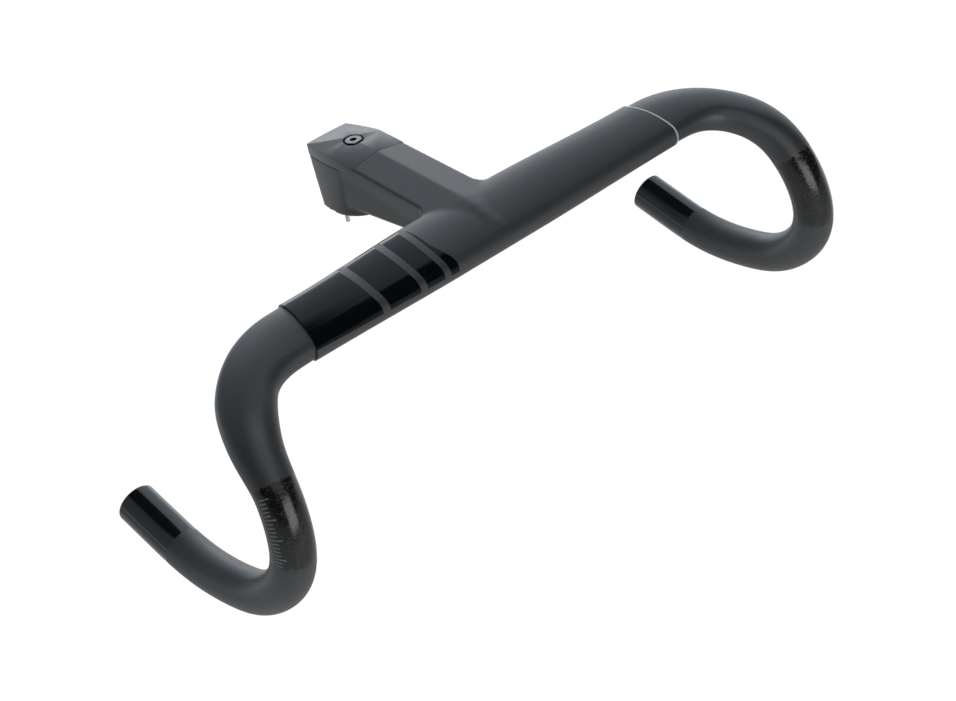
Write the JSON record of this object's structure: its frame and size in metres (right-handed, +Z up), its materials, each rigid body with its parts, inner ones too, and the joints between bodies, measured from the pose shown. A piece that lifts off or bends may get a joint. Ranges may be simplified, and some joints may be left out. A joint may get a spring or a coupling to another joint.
{
  "type": "integrated handlebar stem",
  "caption": "Hollow moulded drop handlebar joined to its stem, with flattened tops, hooked drops with open ends, a faceted top cap and a split steerer clamp.",
  "frame": {"origin": "steerer axis at the clamp's bottom face", "axes": "+Z up along the steerer axis, -Y forward over the front wheel, +X to the rider's left"},
  "size_m": [0.4394, 0.206, 0.1596],
  "materials": {
    "laminate": "lacquered carbon laminate, matte with gloss fields",
    "cap": "matte lacquer",
    "cap_bolt_metal": "plain machined",
    "bolt_metal": "black coated steel",
    "washer_metal": "plain",
    "insert_metal": "machined",
    "pin_metal": "ground"
  },
  "bodies": {
    "root": {"bar_stem_shell": "laminate", "top_cap": "cap", "cap_bolt": "cap_bolt_metal", "clamp_bolt_lower": "bolt_metal", "clamp_bolt_upper": "bolt_metal", "clamp_washer_lower": "washer_metal", "clamp_washer_upper": "washer_metal", "clamp_insert_lower": "insert_metal", "clamp_insert_upper": "insert_metal", "locating_pin_left": "pin_metal", "locating_pin_right": "pin_metal", "mount_insert_left": "insert_metal", "mount_insert_right": "insert_metal"}
  },
  "joints": []
}
